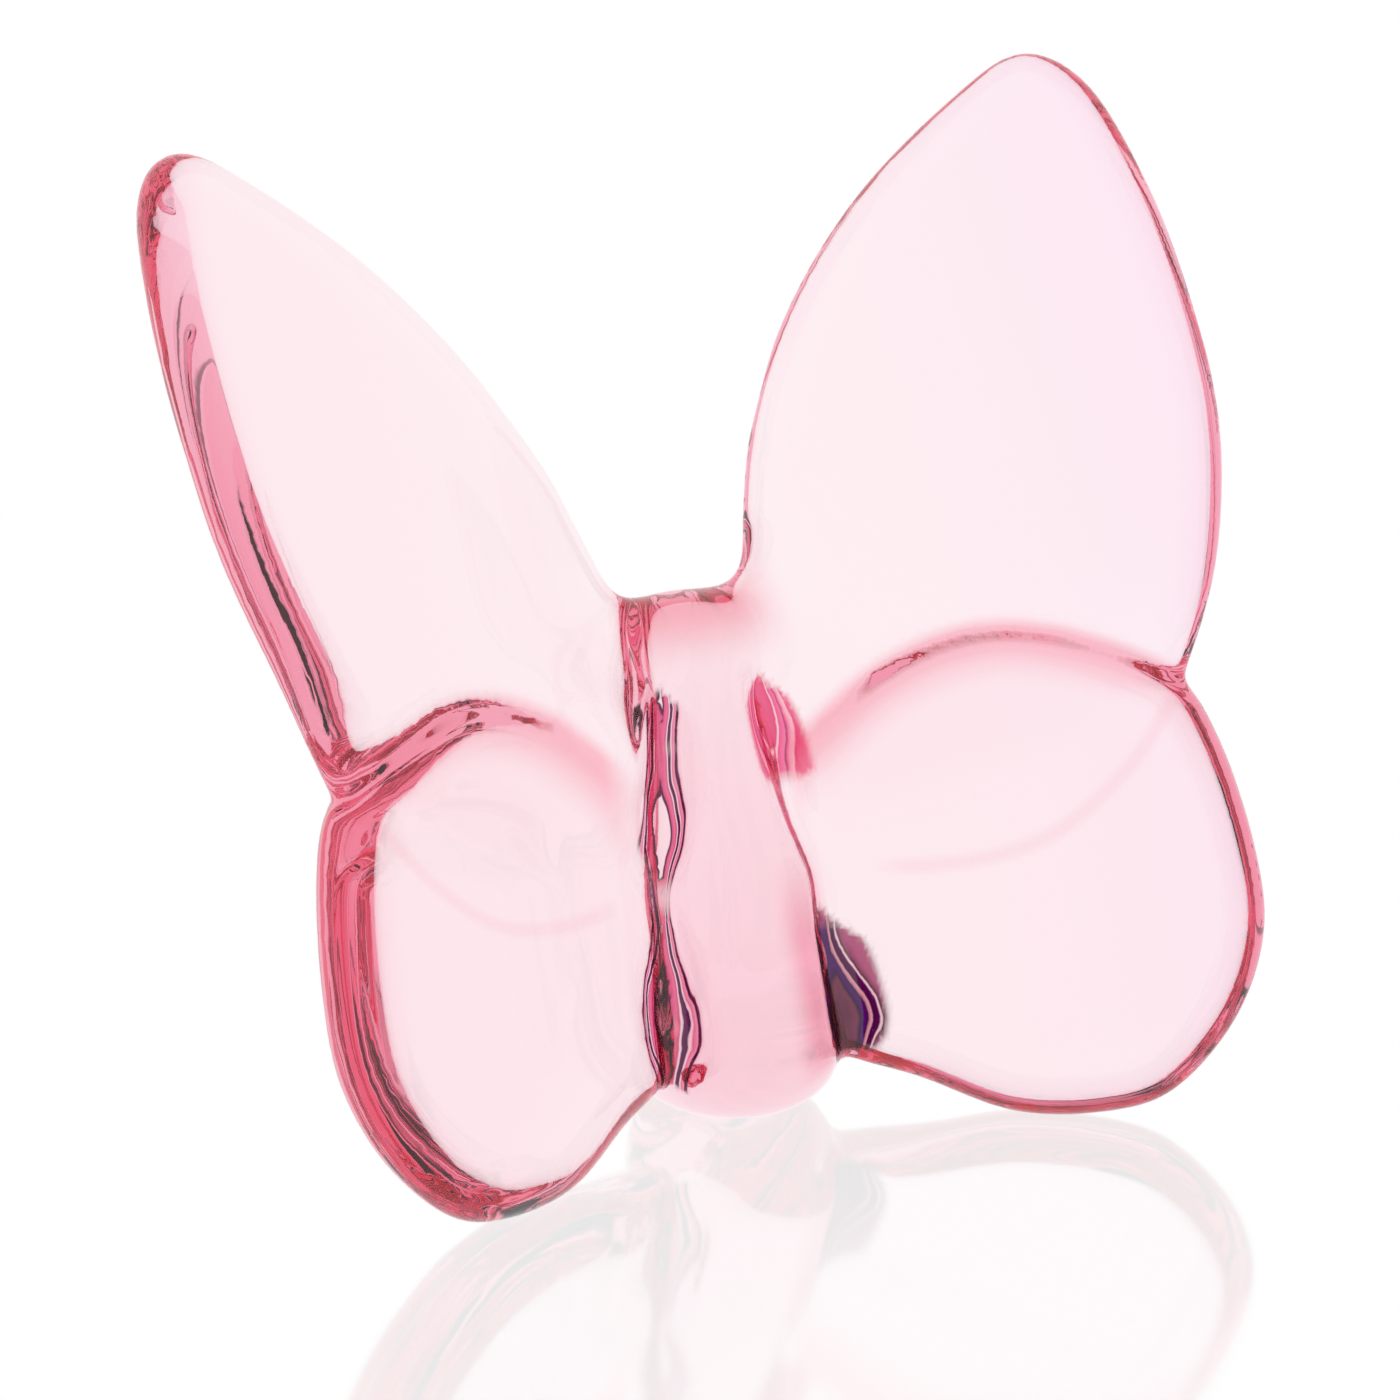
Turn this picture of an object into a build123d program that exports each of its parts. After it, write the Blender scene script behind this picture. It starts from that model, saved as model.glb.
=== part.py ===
from build123d import *
import math
import os

# A butterfly ornament pressed in clear crystal. It stands with its back to +Y and its wings open to -Y,
# left and right alike about X = 0, and rests on the foot of its body and the lowest point of each hindwing.
# It is divided at its creases into a body, two forewings and two hindwings, which meet face to face.
# Lengths are in millimetres and angles in degrees.

# The forewings are plates that lean back and swing forward about a hinge line in the plane X = 0.
forewing_reach = 40.9
forewing_rise = 72.5
forewing_thickness = 5.2
forewing_rim_round = 2.3
forewing_lean_angle = 42.3
forewing_swing_angle = 28.2
forewing_set_forward = 13.4

# Seen from its edge, a forewing bends back at both ends: its tip curls a little further back, and its lower
# part turns down on to the hindwing. The bends start at these shares of its rise.
forewing_tip_angle = 3.6
forewing_foot_angle = 22.5
tip_bend_share = 0.52
foot_bend_share = 0.46

# The hindwings are flat plates, thicker and more upright.
hindwing_reach = 37.9
hindwing_rise = 29.0
hindwing_thickness = 5.8
hindwing_rim_round = 2.6
hindwing_lean_angle = 24.9
hindwing_swing_angle = 29.2
hindwing_set_back = 1.77

# The body is a spindle of oval cuts that leans back, widest above its rounded foot and narrower at its
# waist and top. Each of the three has a width, a depth and how far its middle lies behind the foot's mark.
body_height = 33.2
foot_width = 16.0
foot_depth = 17.4
foot_back = 1.8
waist_width = 12.4
waist_depth = 15.0
waist_back = 6.2
top_width = 10.0
top_depth = 10.8
top_back = 11.2

# The foot curves in to a flat that lies further back than its widest cut, and the top curves in too.
foot_curve_height = 6.0
foot_flat_set_back = 3.0
foot_flat_share = 0.53
top_curve_height = 2.8
top_flat_share = 0.55
waist_height_share = 0.53

# How far cutting solids run past what they cut
overrun = 5.0

# Outlines, as shares of a wing's reach sideways and of its rise up the plate. The first and last points
# lie inside the body.
forewing_outline_shares = [
    (0.12, 0.57), (0.195, 0.69), (0.33, 0.815), (0.505, 0.912), (0.71, 0.98), (0.845, 1.003),
    (0.935, 0.955), (0.98, 0.85), (0.995, 0.73), (0.98, 0.59), (0.91, 0.465), (0.80, 0.375),
    (0.68, 0.308), (0.49, 0.265), (0.27, 0.28), (0.10, 0.33), (0.05, 0.45),
]
hindwing_outline_shares = [
    (0.965, 0.64), (0.995, 0.38), (0.985, 0.18), (0.91, -0.005), (0.78, -0.145), (0.65, -0.17),
    (0.49, -0.133), (0.335, -0.02), (0.195, 0.07), (0.08, 0.21), (0.07, 0.48), (0.16, 0.74),
    (0.355, 0.93), (0.57, 0.997), (0.765, 0.938), (0.905, 0.815),
]
# Where a forewing's bend is drawn through, as shares of its rise
forewing_foot_shares = [0.16, 0.28, 0.40]
forewing_tip_shares = [0.52, 0.68, 0.86, 1.04]


def wing_plane(lean_angle, swing_angle, floor_place):
    """The plane of a right wing: X runs out along the wing, Y up its hinge line and Z out of its front."""
    lean = math.radians(lean_angle)
    swing = math.radians(swing_angle)
    hinge_line = Vector(0, math.sin(lean), math.cos(lean))
    ahead = Vector(0, -math.cos(lean), math.sin(lean))
    outward = Vector(1, 0, 0) * math.cos(swing) + ahead * math.sin(swing)
    return Plane(origin=(0, floor_place, 0), x_dir=outward, z_dir=outward.cross(hinge_line))


def outline_face(shares, reach, rise):
    """The flat outline of a wing, as one smooth closed curve through its points."""
    points = [(across * reach, up * rise) for across, up in shares]
    return make_face(Spline(*points, periodic=True))


def slab_of(face, half_depth):
    """A straight-sided solid with the outline of a face, the same depth in front of it and behind it."""
    return Pos(0, 0, -half_depth) * extrude(face, 2 * half_depth)


def bent_plate(middle_points, thickness, reach):
    """A plate as wide as a wing whose middle follows points given as (up, ahead)."""
    front = [(up, ahead + thickness / 2) for up, ahead in middle_points]
    back = [(up, ahead - thickness / 2) for up, ahead in reversed(middle_points)]
    edges = [Spline(*front), Line(front[-1], back[0]), Spline(*back), Line(back[-1], front[0])]
    profile = Plane.YZ.offset(-overrun) * make_face(edges)
    return extrude(profile, reach + 2 * overrun)


def rounded_rim(plate, radius):
    """Round both edges of a plate's rim."""
    rims = [edge for edge in plate.edges() if edge.is_closed]
    return fillet(rims, radius)


def foot_bend(share):
    """How far back a forewing's middle lies below its foot's bend: a straight slope."""
    return (foot_bend_share - share) * forewing_rise * math.tan(math.radians(forewing_foot_angle))


def tip_bend(share):
    """How far back a forewing's middle lies above its tip's bend: an even curl."""
    length = (share - tip_bend_share) * forewing_rise
    curl = math.tan(math.radians(forewing_tip_angle)) / (2 * (1 - tip_bend_share) * forewing_rise)
    return curl * length**2


def forewing_plate():
    """The right forewing before the body is cut from it, lying in its own plane."""
    middle = [(share * forewing_rise, -foot_bend(share)) for share in forewing_foot_shares]
    middle += [(share * forewing_rise, -tip_bend(share)) for share in forewing_tip_shares]
    outline = outline_face(forewing_outline_shares, forewing_reach, forewing_rise)
    prism = slab_of(outline, foot_bend(forewing_foot_shares[0]) + forewing_thickness)
    return rounded_rim(prism & bent_plate(middle, forewing_thickness, forewing_reach), forewing_rim_round)


def hindwing_plate():
    """The right hindwing before its neighbours are cut from it, lying in its own plane."""
    outline = outline_face(hindwing_outline_shares, hindwing_reach, hindwing_rise)
    return rounded_rim(slab_of(outline, hindwing_thickness / 2), hindwing_rim_round)


def curved_end(full_width, full_depth, flat_share, turn):
    """Half width and half depth of an end's cut, from its flat at no turn to its full size at 90 degrees."""
    spread = flat_share + (1 - flat_share) * math.sin(math.radians(turn))
    return full_width / 2 * spread, full_depth / 2 * spread


def body_stations():
    """The body's level cuts from foot to top: height, middle's place, half width and half depth."""
    stations = []
    for turn in (0, 25, 50, 70, 90):
        height = foot_curve_height * (1 - math.cos(math.radians(turn)))
        middle = foot_back + foot_flat_set_back * (1 - math.sin(math.radians(turn)))
        stations.append((height, middle, *curved_end(foot_width, foot_depth, foot_flat_share, turn)))
    stations.append((body_height * waist_height_share, waist_back, waist_width / 2, waist_depth / 2))
    for turn in (90, 65, 40, 0):
        height = body_height - top_curve_height * (1 - math.cos(math.radians(turn)))
        stations.append((height, top_back, *curved_end(top_width, top_depth, top_flat_share, turn)))
    return stations


def body_spindle():
    """The body, as a smooth loft through its oval cuts."""
    cuts = [
        Pos(0, middle, height) * Ellipse(half_width, half_depth)
        for height, middle, half_width, half_depth in body_stations()
    ]
    return loft(cuts)


def above_floor(piece):
    """Grind a piece flat where it would reach below the floor."""
    span = 2 * (forewing_reach + forewing_rise)
    ground = Pos(0, 0, -overrun / 2) * Box(span, span, overrun)
    return piece - ground


def back_half(plate):
    """The part of a plate that lies behind its own middle plane."""
    return split(plate, bisect_by=Plane.XY, keep=Keep.BOTTOM)


def mirrored(piece):
    return mirror(piece, about=Plane.YZ)


body = above_floor(body_spindle())
forewing_place = wing_plane(forewing_lean_angle, forewing_swing_angle, -forewing_set_forward)
hindwing_place = wing_plane(hindwing_lean_angle, hindwing_swing_angle, hindwing_set_back)
# Where the wings overlap, the hindwing keeps the back half of its thickness and the forewing has the rest.
hindwing_backing = hindwing_place * back_half(hindwing_plate())
right_forewing = above_floor(forewing_place * forewing_plate()) - body - hindwing_backing
right_hindwing = above_floor(hindwing_place * hindwing_plate()) - body - right_forewing

pieces = {
    "body": body,
    "right_forewing": right_forewing,
    "left_forewing": mirrored(right_forewing),
    "right_hindwing": right_hindwing,
    "left_hindwing": mirrored(right_hindwing),
}

# The origin is under the middle of the whole ornament's box.
whole = Compound(children=[Part() + piece for piece in pieces.values()]).bounding_box()
to_origin = Pos(0, -whole.center().Y, -whole.min.Z)

os.makedirs("parts", exist_ok=True)
for name, piece in pieces.items():
    export_step(to_origin * piece, f"parts/{name}.step")
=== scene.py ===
import math
import bpy
import numpy as np
from mathutils import Matrix, Vector


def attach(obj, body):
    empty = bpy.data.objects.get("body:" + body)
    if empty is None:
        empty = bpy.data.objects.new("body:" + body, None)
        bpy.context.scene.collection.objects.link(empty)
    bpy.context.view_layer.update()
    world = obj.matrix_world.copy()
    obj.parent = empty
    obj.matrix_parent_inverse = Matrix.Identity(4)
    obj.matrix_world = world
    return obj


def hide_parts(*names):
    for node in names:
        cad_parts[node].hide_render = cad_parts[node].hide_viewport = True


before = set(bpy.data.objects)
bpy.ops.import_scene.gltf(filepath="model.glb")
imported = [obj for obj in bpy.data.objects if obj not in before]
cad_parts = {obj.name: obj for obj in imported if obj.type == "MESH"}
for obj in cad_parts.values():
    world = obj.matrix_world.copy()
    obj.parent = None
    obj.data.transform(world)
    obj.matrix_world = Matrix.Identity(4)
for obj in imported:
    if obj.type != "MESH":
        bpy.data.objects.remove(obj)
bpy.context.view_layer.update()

# A butterfly ornament of clear pink crystal, pressed in one piece. Its forms are made in millimetres and
# brought to metres at the end. The lists of the wings and the channel hold the right side only: the left one
# is its mirror image.
MM = 0.001

# Grain of the first, fine surface and of the finished one
FINE_GRAIN, GRAIN = 0.26, 0.41

# The wings' sizes, as in the part's source, in millimetres and degrees. The forewing's foot leans 2 degrees
# more here, so that it lies flush in the hindwing's front.
FORE_REACH, FORE_RISE, FORE_THICK = 40.9, 72.5, 5.2
FORE_LEAN, FORE_SWING, FORE_PLACE = 42.3, 28.2, -13.4
FORE_TIP_ANGLE, FORE_FOOT_ANGLE, FORE_TIP_SHARE, FORE_FOOT_SHARE = 3.6, 24.5, 0.52, 0.46
HIND_REACH, HIND_RISE, HIND_THICK = 37.9, 29.0, 5.8
HIND_LEAN, HIND_SWING, HIND_PLACE = 24.9, 29.2, 1.77
FORE_OUTLINE = [
    (0.12, 0.57), (0.195, 0.69), (0.33, 0.815), (0.505, 0.912), (0.71, 0.98), (0.845, 1.003),
    (0.935, 0.955), (0.98, 0.85), (0.995, 0.73), (0.98, 0.59), (0.91, 0.465), (0.80, 0.375),
    (0.68, 0.308), (0.49, 0.265), (0.27, 0.28), (0.10, 0.33), (0.05, 0.45)]
HIND_OUTLINE = [
    (0.965, 0.64), (0.995, 0.38), (0.985, 0.18), (0.91, -0.005), (0.78, -0.145), (0.65, -0.17),
    (0.49, -0.133), (0.335, -0.02), (0.195, 0.07), (0.08, 0.21), (0.07, 0.48), (0.16, 0.74),
    (0.355, 0.93), (0.57, 0.997), (0.765, 0.938), (0.905, 0.815)]
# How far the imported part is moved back, so that its origin lies under its middle
SET_BACK = 5.355

# How far a rim's rounding runs in over the front and the back, and in front over the forewing's foot
FORE_FRONT_RIM, FORE_BACK_RIM, FORE_FOOT_RIM = 3.6, 3.6, 9.0
HIND_FRONT_RIM, HIND_BACK_RIM = 4.2, 5.4
# How much fuller the hindwing's back is, how gently the forewing's foot bends, over what share of the rise
# its rim grows, and how much of an outline's own radius a rim may take
HIND_FULLER, BEND_SOFTNESS, FOOT_RIM_SHARE, RIM_ROOM_SHARE = 0.8, 1.7, 0.14, 0.8
# Rounds of evening out an outline's bend and a rim's width
BEND_ROUNDS, RIM_ROUNDS = 30, 12

# The body's level cuts: height, middle, half width and half depth
BODY_CUTS = [
    (0.0, 4.8, 4.24, 4.61), (0.56, 3.53, 5.5, 6.34), (2.14, 2.5, 6.6, 7.74), (3.95, 1.98, 7.1, 8.45),
    (6.0, 1.8, 7.3, 8.7), (11.5, 3.7, 7.0, 8.3), (17.6, 6.2, 6.2, 7.5), (24.5, 8.9, 5.5, 6.4),
    (30.4, 11.2, 5.0, 5.4), (32.2, 11.6, 4.7, 4.9), (33.2, 11.8, 4.0, 4.0), (33.8, 12.0, 2.4, 2.4)]
# The web that fills the saddle between the wings: its middle and its half sizes
WEB_MIDDLE, WEB_SIZE = (0, 4.4, 28.8), (8.5, 3.9, 5.2)

# The channel pressed between the body and a wing: x, y, z and its radius
CHANNEL_LINE = [
    (6.6, -3.3, 0.6, 0.1), (6.5, -3.5, 3.0, 0.8), (6.45, -3.8, 5.0, 1.6), (6.4, -3.85, 7.0, 2.0),
    (6.25, -2.5, 10.0, 1.9), (5.95, -1.35, 12.0, 1.65), (5.7, -0.25, 14.0, 1.1), (5.45, 0.85, 16.0, 0.6),
    (5.15, 1.5, 18.0, 1.0), (4.85, 2.0, 20.0, 1.4), (4.3, 2.9, 23.0, 1.65), (3.85, 4.15, 26.0, 1.5),
    (3.6, 5.25, 28.0, 1.1), (3.75, 6.3, 30.0, 0.4), (4.0, 7.0, 31.0, 0.1)]
# How square the channel's shoulders are, and how many radii out it moves the surface
SHOULDER, CHANNEL_REACH = 5, 3.2
# How many rows the channel's line and an outline are measured against
CHANNEL_ROWS, OUTLINE_ROWS = 200, 120

# Rounds of melting: everything, the wings' fronts, all backs, the body's back, its back near the top, the
# saddle, the foot, everything once the channel is pressed, and the finished surface
ALL_ROUNDS, FRONT_ROUNDS, BACK_ROUNDS, BODY_BACK_ROUNDS, BACK_TOP_ROUNDS = 14, 8, 125, 300, 700
SADDLE_ROUNDS, FOOT_ROUNDS, CHANNEL_ROUNDS, FINISH_ROUNDS = 260, 40, 8, 6

# Where they work, in pairs: the share rises from nothing to full between the two numbers or, in a name with
# END, falls from full to nothing. They are millimetres: WIDTH from the middle plane, DEPTH backwards, HEIGHT
# from the floor and INSIDE from a wing's outline. FRONT_FACING is how far the surface looks to the front.
FRONT_FACING = (-0.1, 0.25)
WING_INSIDE, BESIDE_BODY_WIDTH, BACK_END_WIDTH = (2.0, 6.0), (8.5, 11.5), (26.0, 32.0)
OFF_FLOOR_HEIGHT, BEHIND_DEPTH = (0.8, 4.0), (1.0, 3.0)
BODY_BACK_END_WIDTH, BODY_BACK_END_HEIGHT, BACK_TOP_HEIGHT = (9.0, 13.0), (33.0, 35.5), (23.0, 28.0)
SADDLE_END_WIDTH, SADDLE_HEIGHT, SADDLE_END_HEIGHT = (5.5, 9.5), (27.5, 31.5), (38.0, 42.0)
FOOT_END_WIDTH, FOOT_HEIGHT, FOOT_END_HEIGHT = (5.0, 7.0), (0.05, 0.4), (2.5, 5.0)


def select_nothing():
    if bpy.context.object and bpy.context.object.mode != "OBJECT":
        bpy.ops.object.mode_set(mode="OBJECT")
    bpy.ops.object.select_all(action="DESELECT")


def take(piece):
    """Make one piece the selected and active one."""
    select_nothing()
    piece.select_set(True)
    bpy.context.view_layer.objects.active = piece


def settle(piece):
    """Bring a piece's place, turn and size into its mesh."""
    take(piece)
    bpy.ops.object.transform_apply(location=True, rotation=True, scale=True)


def apply_modifier(piece, kind, **settings):
    take(piece)
    modifier = piece.modifiers.new(kind.title(), kind)
    for name, value in settings.items():
        setattr(modifier, name, value)
    bpy.ops.object.modifier_apply(modifier=modifier.name)


def face_outwards(piece):
    take(piece)
    bpy.ops.object.mode_set(mode="EDIT")
    bpy.ops.mesh.select_all(action="SELECT")
    bpy.ops.mesh.normals_make_consistent(inside=False)
    bpy.ops.object.mode_set(mode="OBJECT")


def places(piece):
    """The piece's points, as rows of x, y and z."""
    co = np.empty(len(piece.data.vertices) * 3)
    piece.data.vertices.foreach_get("co", co)
    return co.reshape(-1, 3)


def set_places(piece, co):
    piece.data.vertices.foreach_set("co", co.ravel())
    piece.data.update()


def facing_front(piece):
    """For each point, a share of how far its surface looks to the front."""
    normal = np.empty(len(piece.data.vertices) * 3)
    piece.data.vertex_normals.foreach_get("vector", normal)
    return ease(-normal.reshape(-1, 3)[:, 1], *FRONT_FACING)


def ease(value, low, high):
    """A smooth share from 0 at low to 1 at high."""
    t = np.clip((value - low) / (high - low), 0, 1)
    return t * t * (3 - 2 * t)


def curve_between(a, b, c, d, steps):
    """Rows on the smooth curve from b to c, whose neighbours are a and d."""
    return [0.5 * (2 * b + (c - a) * t + (2 * a - 5 * b + 4 * c - d) * t**2 + (3 * b - a - 3 * c + d) * t**3)
            for t in np.arange(0, 1, 1 / steps)]


def evenly_spaced(rows, count, closed):
    """A number of rows at even distances along a line of rows."""
    run = np.r_[0, np.cumsum(np.linalg.norm(np.diff(rows, axis=0), axis=1))]
    at = np.linspace(0, run[-1], count, endpoint=not closed)
    return np.stack([np.interp(at, run, column) for column in rows.T], 1)


def rounded_line(points, count):
    """Evenly spaced points on the smooth closed line through a few points."""
    p = np.array(points, float)
    n = len(p)
    rows = []
    for i in range(n):
        rows += curve_between(p[i - 1], p[i], p[(i + 1) % n], p[(i + 2) % n], 24)
    return evenly_spaced(np.array(rows + [rows[0]]), count, True)


def smooth_through(stations, count):
    """Rows of numbers that pass smoothly through a few rows, evenly spaced along them."""
    p = np.array(stations, float)
    p = np.vstack([2 * p[0] - p[1], p, 2 * p[-1] - p[-2]])
    rows = []
    for i in range(1, len(p) - 2):
        rows += curve_between(p[i - 1], p[i], p[i + 1], p[i + 2], 32)
    return evenly_spaced(np.array(rows + [p[-2]]), count, False)


def outline_line(outline, reach, rise, count):
    """A wing's outline as evenly spaced points that run round it the same way."""
    line = rounded_line([(across * reach, up * rise) for across, up in outline], count)
    ahead = np.roll(line, -1, axis=0) - np.roll(line, 1, axis=0)
    if np.sum(line[:, 0] * ahead[:, 1] - line[:, 1] * ahead[:, 0]) < 0:
        line = line[::-1]
    return line


def averaged(values, rounds):
    """Values round a closed line, each drawn towards its neighbours."""
    for _ in range(rounds):
        values = (values + np.roll(values, 1) + np.roll(values, -1)) / 3
    return values


def rim_widths(line, rise, front_rim, back_rim, foot_rim):
    """How far the rounding runs in at each point of an outline, in front (1) and at the back (-1), and the
    direction inwards at each point."""
    ahead = np.roll(line, -2, axis=0) - np.roll(line, 2, axis=0)
    ahead /= np.linalg.norm(ahead, axis=1)[:, None]
    step = np.linalg.norm(np.roll(line, -1, axis=0) - line, axis=1).mean()
    turn = np.linalg.norm(np.roll(ahead, -1, axis=0) - np.roll(ahead, 1, axis=0), axis=1) / (2 * step)
    room = RIM_ROOM_SHARE / np.maximum(averaged(turn, BEND_ROUNDS), 1e-4)
    rims = {}
    for side, width in ((1, front_rim), (-1, back_rim)):
        width = np.full(len(line), width)
        if foot_rim and side == 1:
            low = ease(-line[:, 1] / rise, -FORE_FOOT_SHARE, FOOT_RIM_SHARE - FORE_FOOT_SHARE)
            width += (foot_rim - width) * low
        rims[side] = averaged(np.minimum(width, room), RIM_ROUNDS)[:, None]
    inward = np.stack([-ahead[:, 1], ahead[:, 0]], 1)
    return rims, inward


def petal(name, outline, reach, rise, thickness, front_rim, back_rim, foot_rim=None, fuller=0.0):
    """A pillow-edged plate: a ball whose girdle is drawn out to the wing's outline and whose two faces lie
    flat. The rims are how far the edge's rounding runs in over the front and the back."""
    around, rings, flat = 288, 44, 0.16
    select_nothing()
    bpy.ops.mesh.primitive_uv_sphere_add(segments=around, ring_count=rings, radius=1)
    plate = bpy.context.object
    plate.name = name
    line = outline_line(outline, reach, rise, around)
    rims, inward = rim_widths(line, rise, front_rim, back_rim, foot_rim)
    middle = line.mean(axis=0)
    co = places(plate)
    turn = np.arctan2(co[:, 1], co[:, 0]) % (2 * math.pi)
    place = np.round(turn / (2 * math.pi) * around).astype(int) % around
    level = np.arccos(np.clip(co[:, 2], -1, 1)) / math.pi
    out = np.empty_like(co)
    for side, half in ((1, thickness / 2), (-1, thickness / 2 + fuller)):
        here = (level <= 0.5) if side == 1 else (level > 0.5)
        down = level[here] if side == 1 else 1 - level[here]
        tilt = np.clip((0.5 - down) / (0.5 - flat), 0, 1) * math.pi / 2
        share = np.clip(down / flat, 0, 1)[:, None]
        i = place[here]
        edge = line[i] + inward[i] * rims[side][i] * (1 - np.cos(tilt))[:, None]
        out[here, :2] = middle + (edge - middle) * share
        out[here, 2] = side * half * np.sin(tilt)
    set_places(plate, out)
    face_outwards(plate)
    return plate


def wing_place(lean, swing, floor_place):
    """Where a right wing stands: X runs out along the wing, Y up its hinge line and Z out of its front."""
    lean, swing = math.radians(lean), math.radians(swing)
    hinge = Vector((0, math.sin(lean), math.cos(lean)))
    ahead = Vector((0, -math.cos(lean), math.sin(lean)))
    outward = Vector((1, 0, 0)) * math.cos(swing) + ahead * math.sin(swing)
    turn = Matrix((outward, hinge, outward.cross(hinge))).transposed().to_4x4()
    return Matrix.Translation((0, floor_place - SET_BACK, 0)) @ turn


def bend_forewing(plate):
    """Lean the wing's foot back on to the hindwing and curl its tip back a little."""
    foot = math.tan(math.radians(FORE_FOOT_ANGLE))
    tip = math.tan(math.radians(FORE_TIP_ANGLE)) / (2 * (1 - FORE_TIP_SHARE) * FORE_RISE)
    co = places(plate)
    below = (FORE_FOOT_SHARE * FORE_RISE - co[:, 1]) / BEND_SOFTNESS
    above = np.maximum(0, co[:, 1] - FORE_TIP_SHARE * FORE_RISE)
    co[:, 2] -= foot * BEND_SOFTNESS * np.log1p(np.exp(below)) + tip * above**2
    set_places(plate, co)


def mirrored_copy(piece, name):
    take(piece)
    bpy.ops.object.duplicate()
    other = bpy.context.object
    other.name = name
    bpy.ops.object.mode_set(mode="EDIT")
    bpy.ops.mesh.select_all(action="SELECT")
    bpy.ops.transform.mirror(constraint_axis=(True, False, False), center_override=(0, 0, 0))
    bpy.ops.object.mode_set(mode="OBJECT")
    face_outwards(other)
    return other


def spindle():
    """The body: a ball drawn out through its level cuts, flat at its foot."""
    around, rings, flat = 128, 90, 6
    select_nothing()
    bpy.ops.mesh.primitive_uv_sphere_add(segments=around, ring_count=rings, radius=1)
    body = bpy.context.object
    body.name = "body_form"
    cuts = smooth_through(BODY_CUTS, rings + 1 - 2 * flat)
    co = places(body)
    ring = rings - np.round(np.arccos(np.clip(co[:, 2], -1, 1)) / math.pi * rings).astype(int)
    turn = np.arctan2(co[:, 1], co[:, 0])
    share = np.clip(np.minimum(ring, rings - ring) / flat, 0, 1)
    height, middle, width, depth = cuts[np.clip(ring - flat, 0, len(cuts) - 1)].T
    across = width * share * np.cos(turn)
    behind = middle - SET_BACK + depth * share * np.sin(turn)
    set_places(body, np.stack([across, behind, height], 1))
    face_outwards(body)
    return body


def saddle_web():
    """The web between the wings at the top of the body."""
    select_nothing()
    bpy.ops.mesh.primitive_uv_sphere_add(segments=96, ring_count=48, radius=1, location=WEB_MIDDLE,
                                         scale=WEB_SIZE)
    web = bpy.context.object
    settle(web)
    return web


def melt(piece, rounds, share=None):
    """Smooth the surface, everywhere alike or by a share from 0 to 1 for each point."""
    levels, settings = 12, {}
    if share is not None:
        group = piece.vertex_groups.new(name="melt")
        level = np.round(share * levels).astype(int)
        for step in range(1, levels + 1):
            group.add(np.nonzero(level == step)[0].tolist(), step / levels, "REPLACE")
        settings["vertex_group"] = "melt"
    apply_modifier(piece, "SMOOTH", factor=0.6, iterations=rounds, **settings)
    piece.vertex_groups.clear()


def nearest_row(here, rows):
    """For each point, the number of its nearest row and the squared distance to it."""
    nearest = np.zeros(len(here), int)
    best = np.full(len(here), np.inf)
    for i, row in enumerate(rows):
        gap = np.sum((here - row)**2, axis=1)
        closer = gap < best
        best[closer] = gap[closer]
        nearest[closer] = i
    return nearest, best


def mirrored_right(co):
    """All points on the right: those on the left are mirrored."""
    return np.stack([np.abs(co[:, 0]), co[:, 1], co[:, 2]], 1)


def inside_wing(place, right, outline, reach, rise):
    """For each point, how far inside a wing's outline it lies, seen square on, and its share of the rise."""
    line = outline_line(outline, reach, rise, OUTLINE_ROWS)
    ahead = np.roll(line, -1, axis=0) - np.roll(line, 1, axis=0)
    ahead /= np.linalg.norm(ahead, axis=1)[:, None]
    inward = np.stack([-ahead[:, 1], ahead[:, 0]], 1)
    turn = np.array(place.inverted())
    here = right @ turn[:2, :3].T + turn[:2, 3]
    nearest, _ = nearest_row(here, line)
    return np.sum((here - line[nearest]) * inward[nearest], axis=1), here[:, 1] / rise


def inside_wings(co):
    """For each point, how far inside the forewing and the hindwing it lies, and its share of each rise."""
    right = mirrored_right(co)
    fore_place = wing_place(FORE_LEAN, FORE_SWING, FORE_PLACE)
    hind_place = wing_place(HIND_LEAN, HIND_SWING, HIND_PLACE)
    in_fore, fore_up = inside_wing(fore_place, right, FORE_OUTLINE, FORE_REACH, FORE_RISE)
    in_hind, hind_up = inside_wing(hind_place, right, HIND_OUTLINE, HIND_REACH, HIND_RISE)
    return in_fore, in_hind, fore_up, hind_up


def along_channel(co):
    """For each point, mirrored to the right: its side, its place, its nearest row of the channel's line and
    the distance to it."""
    side = np.where(co[:, 0] < 0, -1.0, 1.0)
    here = mirrored_right(co)
    rows = smooth_through(CHANNEL_LINE, CHANNEL_ROWS) - (0, SET_BACK, 0, 0)
    nearest, best = nearest_row(here, rows[:, :3])
    return side, here, rows[nearest], np.maximum(np.sqrt(best), 0.05)


def press_channel(piece):
    """Press the round-bottomed channel beside the body, left and right alike."""
    side, here, row, gap = along_channel(places(piece))
    radius = np.maximum(row[:, 3], 0)
    pushed = (gap**SHOULDER + radius**SHOULDER)**(1 / SHOULDER)
    pushed = np.where(gap < CHANNEL_REACH * radius, pushed, gap)
    here = row[:, :3] + (here - row[:, :3]) * (pushed / gap)[:, None]
    here[:, 0] *= side
    set_places(piece, here)


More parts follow.
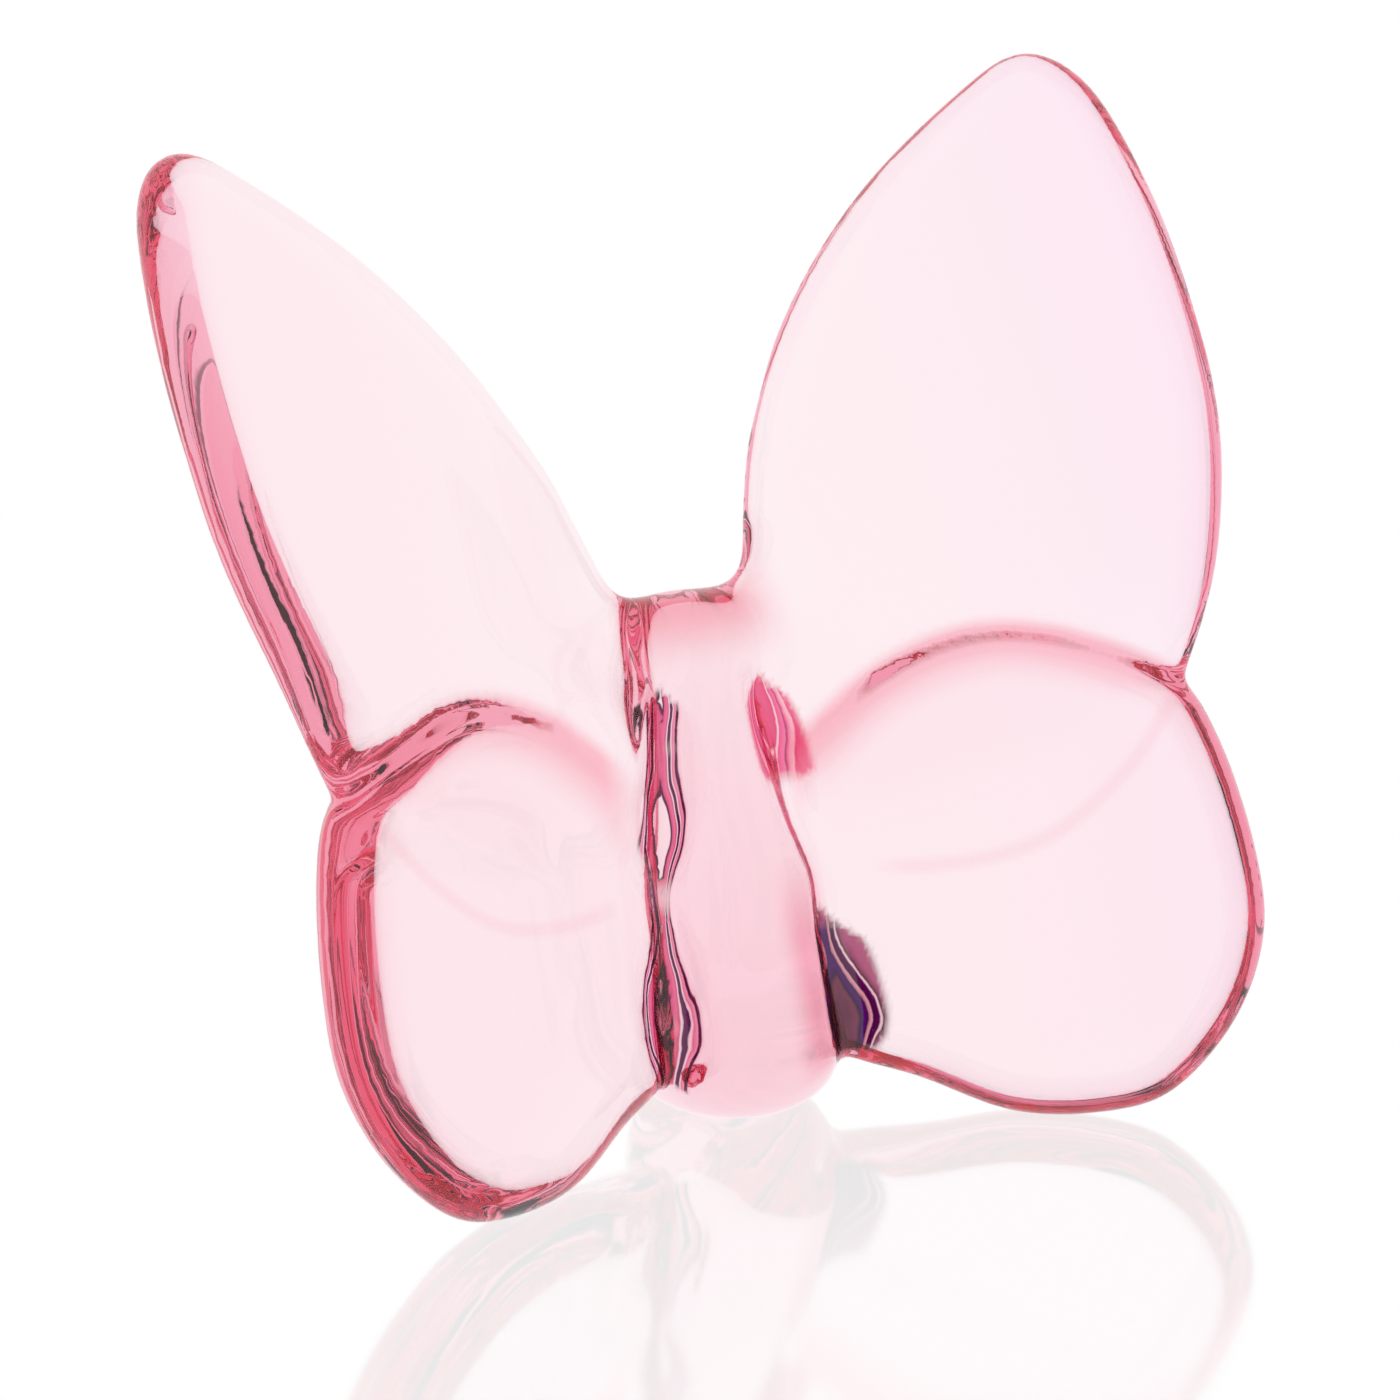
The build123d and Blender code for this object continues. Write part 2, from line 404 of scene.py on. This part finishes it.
def rough_form():
    """All the forms in one mesh: body, web and four wings."""
    fore = petal("forewing_form", FORE_OUTLINE, FORE_REACH, FORE_RISE, FORE_THICK, FORE_FRONT_RIM,
                 FORE_BACK_RIM, FORE_FOOT_RIM)
    bend_forewing(fore)
    fore.matrix_world = wing_place(FORE_LEAN, FORE_SWING, FORE_PLACE)
    hind = petal("hindwing_form", HIND_OUTLINE, HIND_REACH, HIND_RISE, HIND_THICK, HIND_FRONT_RIM,
                 HIND_BACK_RIM, None, HIND_FULLER)
    hind.matrix_world = wing_place(HIND_LEAN, HIND_SWING, HIND_PLACE)
    settle(fore)
    settle(hind)
    web = saddle_web()
    forms = [spindle(), web, fore, hind, mirrored_copy(fore, "left_forewing_form"),
             mirrored_copy(hind, "left_hindwing_form")]
    take(forms[0])
    for form in forms:
        form.select_set(True)
    bpy.ops.object.join()
    return bpy.context.object


def melt_together(piece):
    """Melt the joined forms into one another: the wings' fronts least and the backs and the saddle most."""
    melt(piece, ALL_ROUNDS)
    co = places(piece)
    front = facing_front(piece)
    in_fore, in_hind, _, _ = inside_wings(co)
    wings = ease(np.maximum(in_fore, in_hind), *WING_INSIDE)
    width = np.abs(co[:, 0])
    beside_body = ease(width, *BESIDE_BODY_WIDTH)
    off_floor = ease(co[:, 2], *OFF_FLOOR_HEIGHT)
    back = (1 - front) * np.maximum(wings, (1 - beside_body) * ease(co[:, 1], *BEHIND_DEPTH)) * off_floor
    melt(piece, FRONT_ROUNDS, front * wings * beside_body)
    melt(piece, BACK_ROUNDS, back * (1 - ease(width, *BACK_END_WIDTH)))
    # the back of the body runs softly into the wings, and softest near its top
    co = places(piece)
    width, height = np.abs(co[:, 0]), co[:, 2]
    body_back = (1 - front) * (1 - ease(width, *BODY_BACK_END_WIDTH)) * ease(co[:, 1], *BEHIND_DEPTH)
    body_back *= off_floor * (1 - ease(height, *BODY_BACK_END_HEIGHT))
    melt(piece, BODY_BACK_ROUNDS, body_back)
    melt(piece, BACK_TOP_ROUNDS, body_back * ease(height, *BACK_TOP_HEIGHT))
    # the saddle between the wings, and the foot
    co = places(piece)
    width, height = np.abs(co[:, 0]), co[:, 2]
    saddle = ease(height, *SADDLE_HEIGHT) * (1 - ease(height, *SADDLE_END_HEIGHT))
    melt(piece, SADDLE_ROUNDS, saddle * (1 - ease(width, *SADDLE_END_WIDTH)))
    foot = ease(height, *FOOT_HEIGHT) * (1 - ease(height, *FOOT_END_HEIGHT))
    melt(piece, FOOT_ROUNDS, foot * (1 - ease(width, *FOOT_END_WIDTH)))


def crystal_form():
    """The whole ornament as one closed skin."""
    fine = rough_form()
    apply_modifier(fine, "REMESH", mode="VOXEL", voxel_size=FINE_GRAIN)
    melt_together(fine)
    press_channel(fine)
    melt(fine, CHANNEL_ROUNDS)
    take(fine)
    bpy.ops.object.duplicate()
    skin = bpy.context.object
    apply_modifier(skin, "REMESH", mode="VOXEL", voxel_size=GRAIN)
    apply_modifier(skin, "SHRINKWRAP", target=fine, wrap_method="NEAREST_SURFACEPOINT")
    melt(skin, FINISH_ROUNDS)
    bpy.data.objects.remove(fine)
    mark_painted_channel_lines(skin)
    mark_painted_shade(skin)
    skin.name = "crystal_butterfly"
    take(skin)
    bpy.ops.transform.resize(value=(MM, MM, MM), center_override=(0, 0, 0))
    settle(skin)
    bpy.ops.object.shade_smooth()
    return skin


# Where the crystal's colour changes, with painted light and shade, as shares kept for each point of the skin,
# in pairs as for the melting. UP is a share of a wing's rise.

# The channel's painted lines, painted reflections and shade of its steep walls: how many radii out they reach
# at the left and the right and over how many they fade, and from what radius on the channel shows
LEFT_SPREAD, RIGHT_SPREAD, SPREAD_FADE, SHOWN_RADIUS = 1.38, 1.12, 0.25, (0.35, 0.8)
# The heights between which the right channel is bare
BARE_HEIGHT, BARE_END_HEIGHT = (13.4, 14.4), (21.2, 22.4)
# The heights over which the colours narrow to a point: at the channel's low and high ends, and on the right
# also at the crimson stretch's low end and the dark stretch's high end. Elsewhere they go round the channel
# by as many quarter turns as FULL_OPENING, with a soft edge.
LOW_POINT, HIGH_POINT_END = (0.6, 4.0), (25.5, 29.5)
CRIMSON_POINT, DARK_POINT_END = (20.0, 25.5), (8.5, 14.6)
FULL_OPENING, OPENING_EDGE = 2.0, 0.12
# How far the lines weave across the channel, in quarter turns, and how fast over the height
WEAVE, WEAVE_RATE = 0.2, 0.62
# The heights where the right channel turns from painted dark shade to painted crimson and where its painted
# dark pool ends
POOL_HEIGHT, DARK_POOL_END = (17.0, 19.0), (12.0, 14.5)

# Painted shade where the wings run over each other: the hindwing's deep upper rim, the forewing's thin lower
# fold, and the soft edge inside the other rims, that begins on the forewing where the fold ends
DEEP_RIM, DEEP_RIM_END, DEEP_RIM_UP, DEEP_RIM_WIDTH = (-0.6, 0.5), (0.7, 4.2), (0.5, 0.72), (6.0, 9.5)
THIN_FOLD_END, FOLD_UP_END, FOLD_WIDTH = (0.12, 0.75), (0.36, 0.44), (8.5, 12.0)
SOFT_EDGE_END, SOFT_EDGE_UP_END, SOFT_EDGE_WIDTH = (0.2, 3.2), (0.45, 0.7), (8.5, 13.0)
# The painted shade under the body's top and on its right flank; PLACE is towards the right from the middle
# plane
BODY_TOP_HEIGHT, BODY_TOP_END_WIDTH = (29.5, 33.5), (3.0, 7.0)
FLANK_PLACE, FLANK_END_PLACE = (0.6, 2.8), (5.4, 6.4)
FLANK_HEIGHT, FLANK_END_HEIGHT = (3.0, 6.5), (13.0, 19.0)


def keep(piece, name, values):
    """Keep one number for each point of a piece, for its material."""
    layer = piece.data.attributes.new(name, "FLOAT", "POINT")
    layer.data.foreach_set("value", values.astype(np.float32))


def mark_painted_channel_lines(piece):
    """Keep how much of the channel's painted lines a point has, where it lies across them, and the right
    channel's
    two painted pools: the upper stretch is painted crimson and the lower one painted dark. The lines are
    painted reflections and shade that stand in for the light turned in the channel's steep walls."""
    side, here, row, gap = along_channel(places(piece))
    right, height = side > 0, here[:, 2]
    radius = np.maximum(row[:, 3], 0.01)
    spread = np.where(right, RIGHT_SPREAD, LEFT_SPREAD)
    within = (1 - ease(gap / radius, spread, spread + SPREAD_FADE)) * ease(radius, *SHOWN_RADIUS)
    within *= 1 - right * ease(height, *BARE_HEIGHT) * (1 - ease(height, *BARE_END_HEIGHT))
    away = here - row[:, :3]
    turn = np.abs(np.arctan2(away[:, 0], away[:, 1])) / (math.pi / 2)
    ends = ease(height, *LOW_POINT) * (1 - ease(height, *HIGH_POINT_END))
    pools = np.where(height > POOL_HEIGHT[0], ease(height, *CRIMSON_POINT), 1 - ease(height, *DARK_POINT_END))
    opening = FULL_OPENING * np.where(right, np.minimum(ends, pools), ends)
    within *= 1 - ease(turn, opening - OPENING_EDGE, opening + OPENING_EDGE)
    across = turn + WEAVE * np.sin(height * WEAVE_RATE + side)
    upper = ease(height, *POOL_HEIGHT)
    # painted lines of reflection and shade in the channel's walls, and where across them a point lies
    keep(piece, "channel", within)
    keep(piece, "channel_side", np.clip(across, 0, 1.5))
    # painted pools in the right channel: painted crimson above, painted dark shade below
    keep(piece, "painted_crimson_pool", right * upper)
    keep(piece, "painted_dark_pool", right * (1 - upper) * (1 - ease(height, *DARK_POOL_END)))


def mark_painted_shade(piece):
    """Keep the painted shade where the wings run over each other: the hindwing's deep upper rim behind and
    the forewing's thin lower fold in front; and the painted shade inside the other rims, under the body's top
    and on its right flank."""
    co = places(piece)
    front = facing_front(piece)
    width, height = np.abs(co[:, 0]), co[:, 2]
    fold, rim, fore_up, hind_up = inside_wings(co)
    deep = ease(rim, *DEEP_RIM) * (1 - ease(rim, *DEEP_RIM_END)) * ease(hind_up, *DEEP_RIM_UP)
    thin = (1 - ease(np.abs(fold), *THIN_FOLD_END)) * (1 - ease(fore_up, *FOLD_UP_END))
    soft = np.maximum((1 - ease(np.abs(rim), *SOFT_EDGE_END)) * (1 - ease(hind_up, *SOFT_EDGE_UP_END)),
                      (1 - ease(np.abs(fold), *SOFT_EDGE_END)) * ease(fore_up, *FOLD_UP_END))
    top = ease(height, *BODY_TOP_HEIGHT) * (1 - ease(width, *BODY_TOP_END_WIDTH))
    flank = ease(co[:, 0], *FLANK_PLACE) * (1 - ease(co[:, 0], *FLANK_END_PLACE))
    flank *= ease(height, *FLANK_HEIGHT) * (1 - ease(height, *FLANK_END_HEIGHT))
    # painted shade for the rims, the fold, the body's top and its right flank
    keep(piece, "painted_deep_rim_shade", deep * ease(width, *DEEP_RIM_WIDTH) * (1 - front))
    keep(piece, "painted_thin_fold_shade", thin * ease(width, *FOLD_WIDTH) * front)
    keep(piece, "painted_soft_edge_shade", soft * ease(width, *SOFT_EDGE_WIDTH) * front)
    keep(piece, "painted_body_top_shade", top * front)
    keep(piece, "painted_right_flank_shade", flank * front)


def put(nodes, kind, **settings):
    """A new shader node with its settings; inputs are given by their names, with _ for a space."""
    node = nodes.new("ShaderNode" + kind)
    for name, value in settings.items():
        if hasattr(node, name):
            setattr(node, name, value)
        else:
            node.inputs[name.replace("_", " ")].default_value = value
    return node


def feed(tree, socket, value):
    """Give a socket a fixed value or the output that feeds it."""
    if isinstance(value, bpy.types.NodeSocket):
        tree.links.new(value, socket)
    else:
        socket.default_value = value


def calculate(tree, operation, *values):
    """The output of a sum whose values are fixed or fed."""
    node = put(tree.nodes, "Math", operation=operation)
    for socket, value in zip(node.inputs, values):
        feed(tree, socket, value)
    return node.outputs[0]


def mixed(tree, share, under, over):
    """The output of one colour laid over another by a share."""
    node = put(tree.nodes, "Mix", data_type="RGBA")
    for name, value in (("Factor", share), ("A", under), ("B", over)):
        feed(tree, node.inputs[name], value)
    return node.outputs["Result"]


def ramp_of(tree, value, stops, ease_in="LINEAR"):
    """The colour that a ramp gives for a fed value."""
    ramp = put(tree.nodes, "ValToRGB")
    ramp.color_ramp.interpolation = ease_in
    while len(ramp.color_ramp.elements) < len(stops):
        ramp.color_ramp.elements.new(0.5)
    for element, (place, colour) in zip(ramp.color_ramp.elements, stops):
        element.position = place
        element.color = (*colour, 1) if isinstance(colour, tuple) else (colour, colour, colour, 1)
    tree.links.new(value, ramp.inputs["Fac"])
    return ramp.outputs["Color"]


def kept(tree, name):
    """The number that the piece keeps for each point under a name."""
    return put(tree.nodes, "Attribute", attribute_name=name).outputs["Fac"]


def noise(tree, place, scale, detail):
    node = put(tree.nodes, "TexNoise", Scale=scale, Detail=detail)
    tree.links.new(place, node.inputs["Vector"])
    return node.outputs["Fac"]


# The crystal: how strongly it bends light, and the colour it takes on over a way through it, per metre
CRYSTAL_IOR, TINT, TINT_DENSITY = 1.54, (0.965, 0.56, 0.675, 1), 64.0
# The slow swirls that bend the channel's painted lines: their fineness, how they are drawn out along the
# channel, how far they bend a line and what is taken off so that they bend it both ways
SWIRL_SCALE, SWIRL_SQUASH, SWIRL_BEND, SWIRL_MIDDLE = 260.0, (1.0, 1.0, 0.45), 0.8, 0.3
# The patches where the painted lines give way to a plain painted deep pink: their fineness and where they
# start and are full
PATCH_SCALE, PATCH_LOW, PATCH_HIGH, PATCH_PINK = 170.0, 0.28, 0.42, (0.93, 0.50, 0.60, 1)
# The faint waviness of a pressed face
WAVE_SCALE, WAVE_STRENGTH, WAVE_HEIGHT = 70.0, 0.35, 0.00012
# Half the width over which the clear faces' painted light tint changes colour, in metres
HALF_SPAN = 0.036

# The painted lines across a channel, painted reflections and shade of its steep walls, from its bottom out to
# its shoulder
PAINTED_CHANNEL_LINES = [
    (0.00, (1.0, 0.96, 0.97)), (0.17, (1.0, 0.92, 0.94)), (0.20, (0.01, 0.0, 0.002)),
    (0.25, (0.02, 0.0, 0.005)), (0.28, (0.50, 0.01, 0.07)), (0.38, (0.70, 0.04, 0.14)),
    (0.45, (0.40, 0.01, 0.05)), (0.48, (0.98, 0.88, 0.91)), (0.51, (0.02, 0.0, 0.01)),
    (0.60, (0.004, 0.0, 0.006)), (0.63, (0.95, 0.70, 0.76)), (0.67, (0.62, 0.03, 0.12)),
    (0.74, (0.78, 0.15, 0.28)), (0.77, (0.004, 0.0, 0.002)), (0.85, (0.02, 0.0, 0.005)),
    (0.89, (0.95, 0.60, 0.68)), (1.00, (1.0, 0.92, 0.94))]
# The right channel's two painted pools of crimson and of dark shade, with a few thin painted bright lines
PAINTED_POOL_COLOURS = {
    "painted_crimson_pool": [
        (0.00, (0.80, 0.02, 0.10)), (0.25, (0.62, 0.005, 0.05)), (0.30, (0.98, 0.50, 0.60)),
        (0.34, (0.72, 0.01, 0.09)), (0.48, (0.85, 0.04, 0.16)), (0.52, (0.10, 0.0, 0.01)),
        (0.56, (0.80, 0.02, 0.12)), (0.70, (0.98, 0.35, 0.45)), (0.74, (0.70, 0.01, 0.08)),
        (1.00, (0.85, 0.10, 0.22))],
    "painted_dark_pool": [
        (0.00, (0.002, 0.0, 0.001)), (0.20, (0.03, 0.001, 0.006)), (0.28, (0.001, 0.0, 0.001)),
        (0.40, (0.006, 0.0, 0.02)), (0.47, (0.002, 0.0, 0.001)), (0.56, (0.55, 0.12, 0.18)),
        (0.60, (0.002, 0.0, 0.002)), (0.76, (0.01, 0.0, 0.006)), (0.80, (0.80, 0.45, 0.52)),
        (0.84, (0.003, 0.0, 0.001)), (1.00, (0.20, 0.02, 0.06))]}
# How strong each painted shade is, and its colour
PAINTED_SHADE_COLOURS = [
    ("painted_deep_rim_shade", 0.85, (0.95, 0.22, 0.33)), ("painted_thin_fold_shade", 0.42, (0.95, 0.55, 0.62)),
    ("painted_body_top_shade", 0.9, (0.90, 0.22, 0.30)), ("painted_soft_edge_shade", 0.4, (0.93, 0.55, 0.74)),
    ("painted_right_flank_shade", 1.0, (0.92, 0.36, 0.47))]
# The clear faces' painted tint of the light from left to right: they lean to rose at the left and to lilac at
# the right
PAINTED_LIGHT_TINT = [
    (0.0, (1.0, 0.975, 0.97)), (0.4, (1.0, 1.0, 0.995)), (0.75, (1.0, 0.99, 0.995)),
    (1.0, (0.995, 0.935, 1.0))]


def face_tint_and_painted_shade(tree, place):
    """The clear faces, with a painted rose-to-lilac tint of the light, and painted shade at the wings' rims
    and folds and on the body's top and flank.
    """
    parts = put(tree.nodes, "SeparateXYZ")
    tree.links.new(place, parts.inputs[0])
    span = put(tree.nodes, "MapRange", From_Min=-HALF_SPAN, From_Max=HALF_SPAN)
    tree.links.new(parts.outputs["X"], span.inputs["Value"])
    colour = ramp_of(tree, span.outputs["Result"], PAINTED_LIGHT_TINT)
    # lay each painted shade over the faces
    for name, strength, deep in PAINTED_SHADE_COLOURS:
        share = calculate(tree, "MULTIPLY", kept(tree, name), strength)
        colour = mixed(tree, share, colour, (*deep, 1))
    return colour


def painted_channel_lines(tree, place):
    """The swirling crimson, dark and white lines painted on the channel's walls: painted reflections and
    shade that stand in for the light turned inside them.
    """
    squash = put(tree.nodes, "Mapping", Scale=SWIRL_SQUASH)
    tree.links.new(place, squash.inputs["Vector"])
    swirl = noise(tree, squash.outputs["Vector"], SWIRL_SCALE, 2.0)
    bent = calculate(tree, "MULTIPLY_ADD", swirl, SWIRL_BEND, kept(tree, "channel_side"))
    across = calculate(tree, "SUBTRACT", bent, SWIRL_MIDDLE)
    strength = put(tree.nodes, "MapRange", interpolation_type="SMOOTHSTEP", From_Min=PATCH_LOW,
                   From_Max=PATCH_HIGH)
    tree.links.new(noise(tree, place, PATCH_SCALE, 1.0), strength.inputs["Value"])
    colour = mixed(tree, strength.outputs["Result"], PATCH_PINK, ramp_of(tree, across, PAINTED_CHANNEL_LINES))
    for name, colours in PAINTED_POOL_COLOURS.items():
        colour = mixed(tree, kept(tree, name), colour, ramp_of(tree, across, colours))
    return colour


def pink_crystal():
    """Clear pink crystal. Its colour deepens with the way light goes through it. Its base colour carries
    painted light:
    crimson, dark and white lines painted in the pressed channels beside the body for the reflections and
    shade of their steep walls, painted shade at the wings' rims and folds and on the body's top and flank,
    and a painted rose-to-lilac tint of the light across the faces."""
    glass = bpy.data.materials.new("pink_crystal")
    glass.use_nodes = True
    tree = glass.node_tree
    shader = tree.nodes["Principled BSDF"]
    shader.inputs["Roughness"].default_value = 0.0
    shader.inputs["IOR"].default_value = CRYSTAL_IOR
    shader.inputs["Transmission Weight"].default_value = 1.0
    tint = put(tree.nodes, "VolumeAbsorption", Color=TINT, Density=TINT_DENSITY)
    tree.links.new(tint.outputs["Volume"], tree.nodes["Material Output"].inputs["Volume"])
    place = put(tree.nodes, "TexCoord").outputs["Object"]
    # base colour: the faces' painted light tint and painted shade, and the channels' painted lines of
    # reflection and shade
    colour = mixed(tree, kept(tree, "channel"), face_tint_and_painted_shade(tree, place), painted_channel_lines(tree, place))
    tree.links.new(colour, shader.inputs["Base Color"])
    bump = put(tree.nodes, "Bump", Strength=WAVE_STRENGTH, Distance=WAVE_HEIGHT)
    tree.links.new(noise(tree, place, WAVE_SCALE, 1.0), bump.inputs["Height"])
    tree.links.new(bump.outputs["Normal"], shader.inputs["Normal"])
    return glass


# The floor: how sharply it mirrors, how wide it is in metres and how rough its gloss is
FLOOR_IOR, FLOOR_SIZE, FLOOR_ROUGHNESS = 2.2, 6, 0.08


def gloss_white():
    """White, with a gloss that only the camera sees, so that the crystal shows clean white through itself."""
    white = bpy.data.materials.new("gloss_white")
    white.use_nodes = True
    tree = white.node_tree
    tree.nodes.remove(tree.nodes["Principled BSDF"])
    glow = put(tree.nodes, "Emission", Strength=1.0)
    gloss = put(tree.nodes, "BsdfAnisotropic", Color=(1, 1, 1, 1), Roughness=FLOOR_ROUGHNESS)
    sheen = put(tree.nodes, "Fresnel", IOR=FLOOR_IOR)
    seen = put(tree.nodes, "LightPath")
    both = put(tree.nodes, "MixShader")
    share = calculate(tree, "MULTIPLY", sheen.outputs[0], seen.outputs["Is Camera Ray"])
    for socket, value in zip(both.inputs, (share, glow.outputs[0], gloss.outputs[0])):
        tree.links.new(value, socket)
    tree.links.new(both.outputs[0], tree.nodes["Material Output"].inputs["Surface"])
    return white


def white_floor():
    select_nothing()
    bpy.ops.mesh.primitive_plane_add(size=FLOOR_SIZE)
    floor = bpy.context.object
    floor.name = "white_floor"
    floor.data.materials.append(gloss_white())
    return floor


# The surround's brightness from straight down (0) over level (0.5) to straight up (1)
SOFT_LIGHTS = [
    (0.0, 1.0), (0.50, 1.0), (0.505, 0.3), (0.522, 0.3), (0.54, 1.0), (0.70, 1.0), (0.72, 0.02),
    (0.79, 0.02), (0.81, 1.0), (0.84, 1.0), (0.86, 0.02), (0.93, 0.02), (0.95, 1.0)]
# Light that has met fewer surfaces than this sees plain white
PLAIN_DEPTH = 4.5


def white_room():
    """White to all light that comes nearly straight to the eye. To light turned more often inside the crystal
    it is a white room with dark bands between its soft lights, which draw the dark lines in the rims."""
    world = bpy.data.worlds.new("white_room")
    bpy.context.scene.world = world
    world.use_nodes = True
    tree = world.node_tree
    parts = put(tree.nodes, "SeparateXYZ")
    tree.links.new(put(tree.nodes, "TexCoord").outputs["Generated"], parts.inputs[0])
    up = calculate(tree, "MULTIPLY_ADD", parts.outputs["Z"], 0.5, 0.5)
    early = calculate(tree, "LESS_THAN", put(tree.nodes, "LightPath").outputs["Ray Depth"], PLAIN_DEPTH)
    colour = mixed(tree, early, ramp_of(tree, up, SOFT_LIGHTS, "EASE"), (1, 1, 1, 1))
    tree.links.new(colour, tree.nodes["Background"].inputs["Color"])


# The camera's view: its way round and up in degrees, its distance and what it looks at in metres, its lens
AZIMUTH, ELEVATION, DISTANCE, TARGET = -23, 21, 0.483, (0.00107, 0.00496, 0.02583)
LENS, SENSOR = 183.6, 36


def front_camera():
    azimuth, elevation = math.radians(AZIMUTH), math.radians(ELEVATION)
    back = Vector((math.sin(azimuth) * math.cos(elevation), -math.cos(azimuth) * math.cos(elevation),
                   math.sin(elevation)))
    bpy.ops.object.camera_add(location=Vector(TARGET) + back * DISTANCE)
    camera = bpy.context.object
    camera.rotation_euler = (-back).to_track_quat("-Z", "Y").to_euler()
    camera.data.lens = LENS
    camera.data.sensor_width = SENSOR
    return camera


crystal = crystal_form()
crystal.data.materials.clear()
crystal.data.materials.append(pink_crystal())
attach(crystal, "root")
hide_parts("body", "right_forewing", "left_forewing", "right_hindwing", "left_hindwing")

floor = white_floor()
white_room()

scene = bpy.context.scene
scene.camera = front_camera()
scene.view_settings.view_transform = "Standard"
scene.cycles.max_bounces = 32
scene.cycles.transmission_bounces = 32
scene.cycles.glossy_bounces = 16
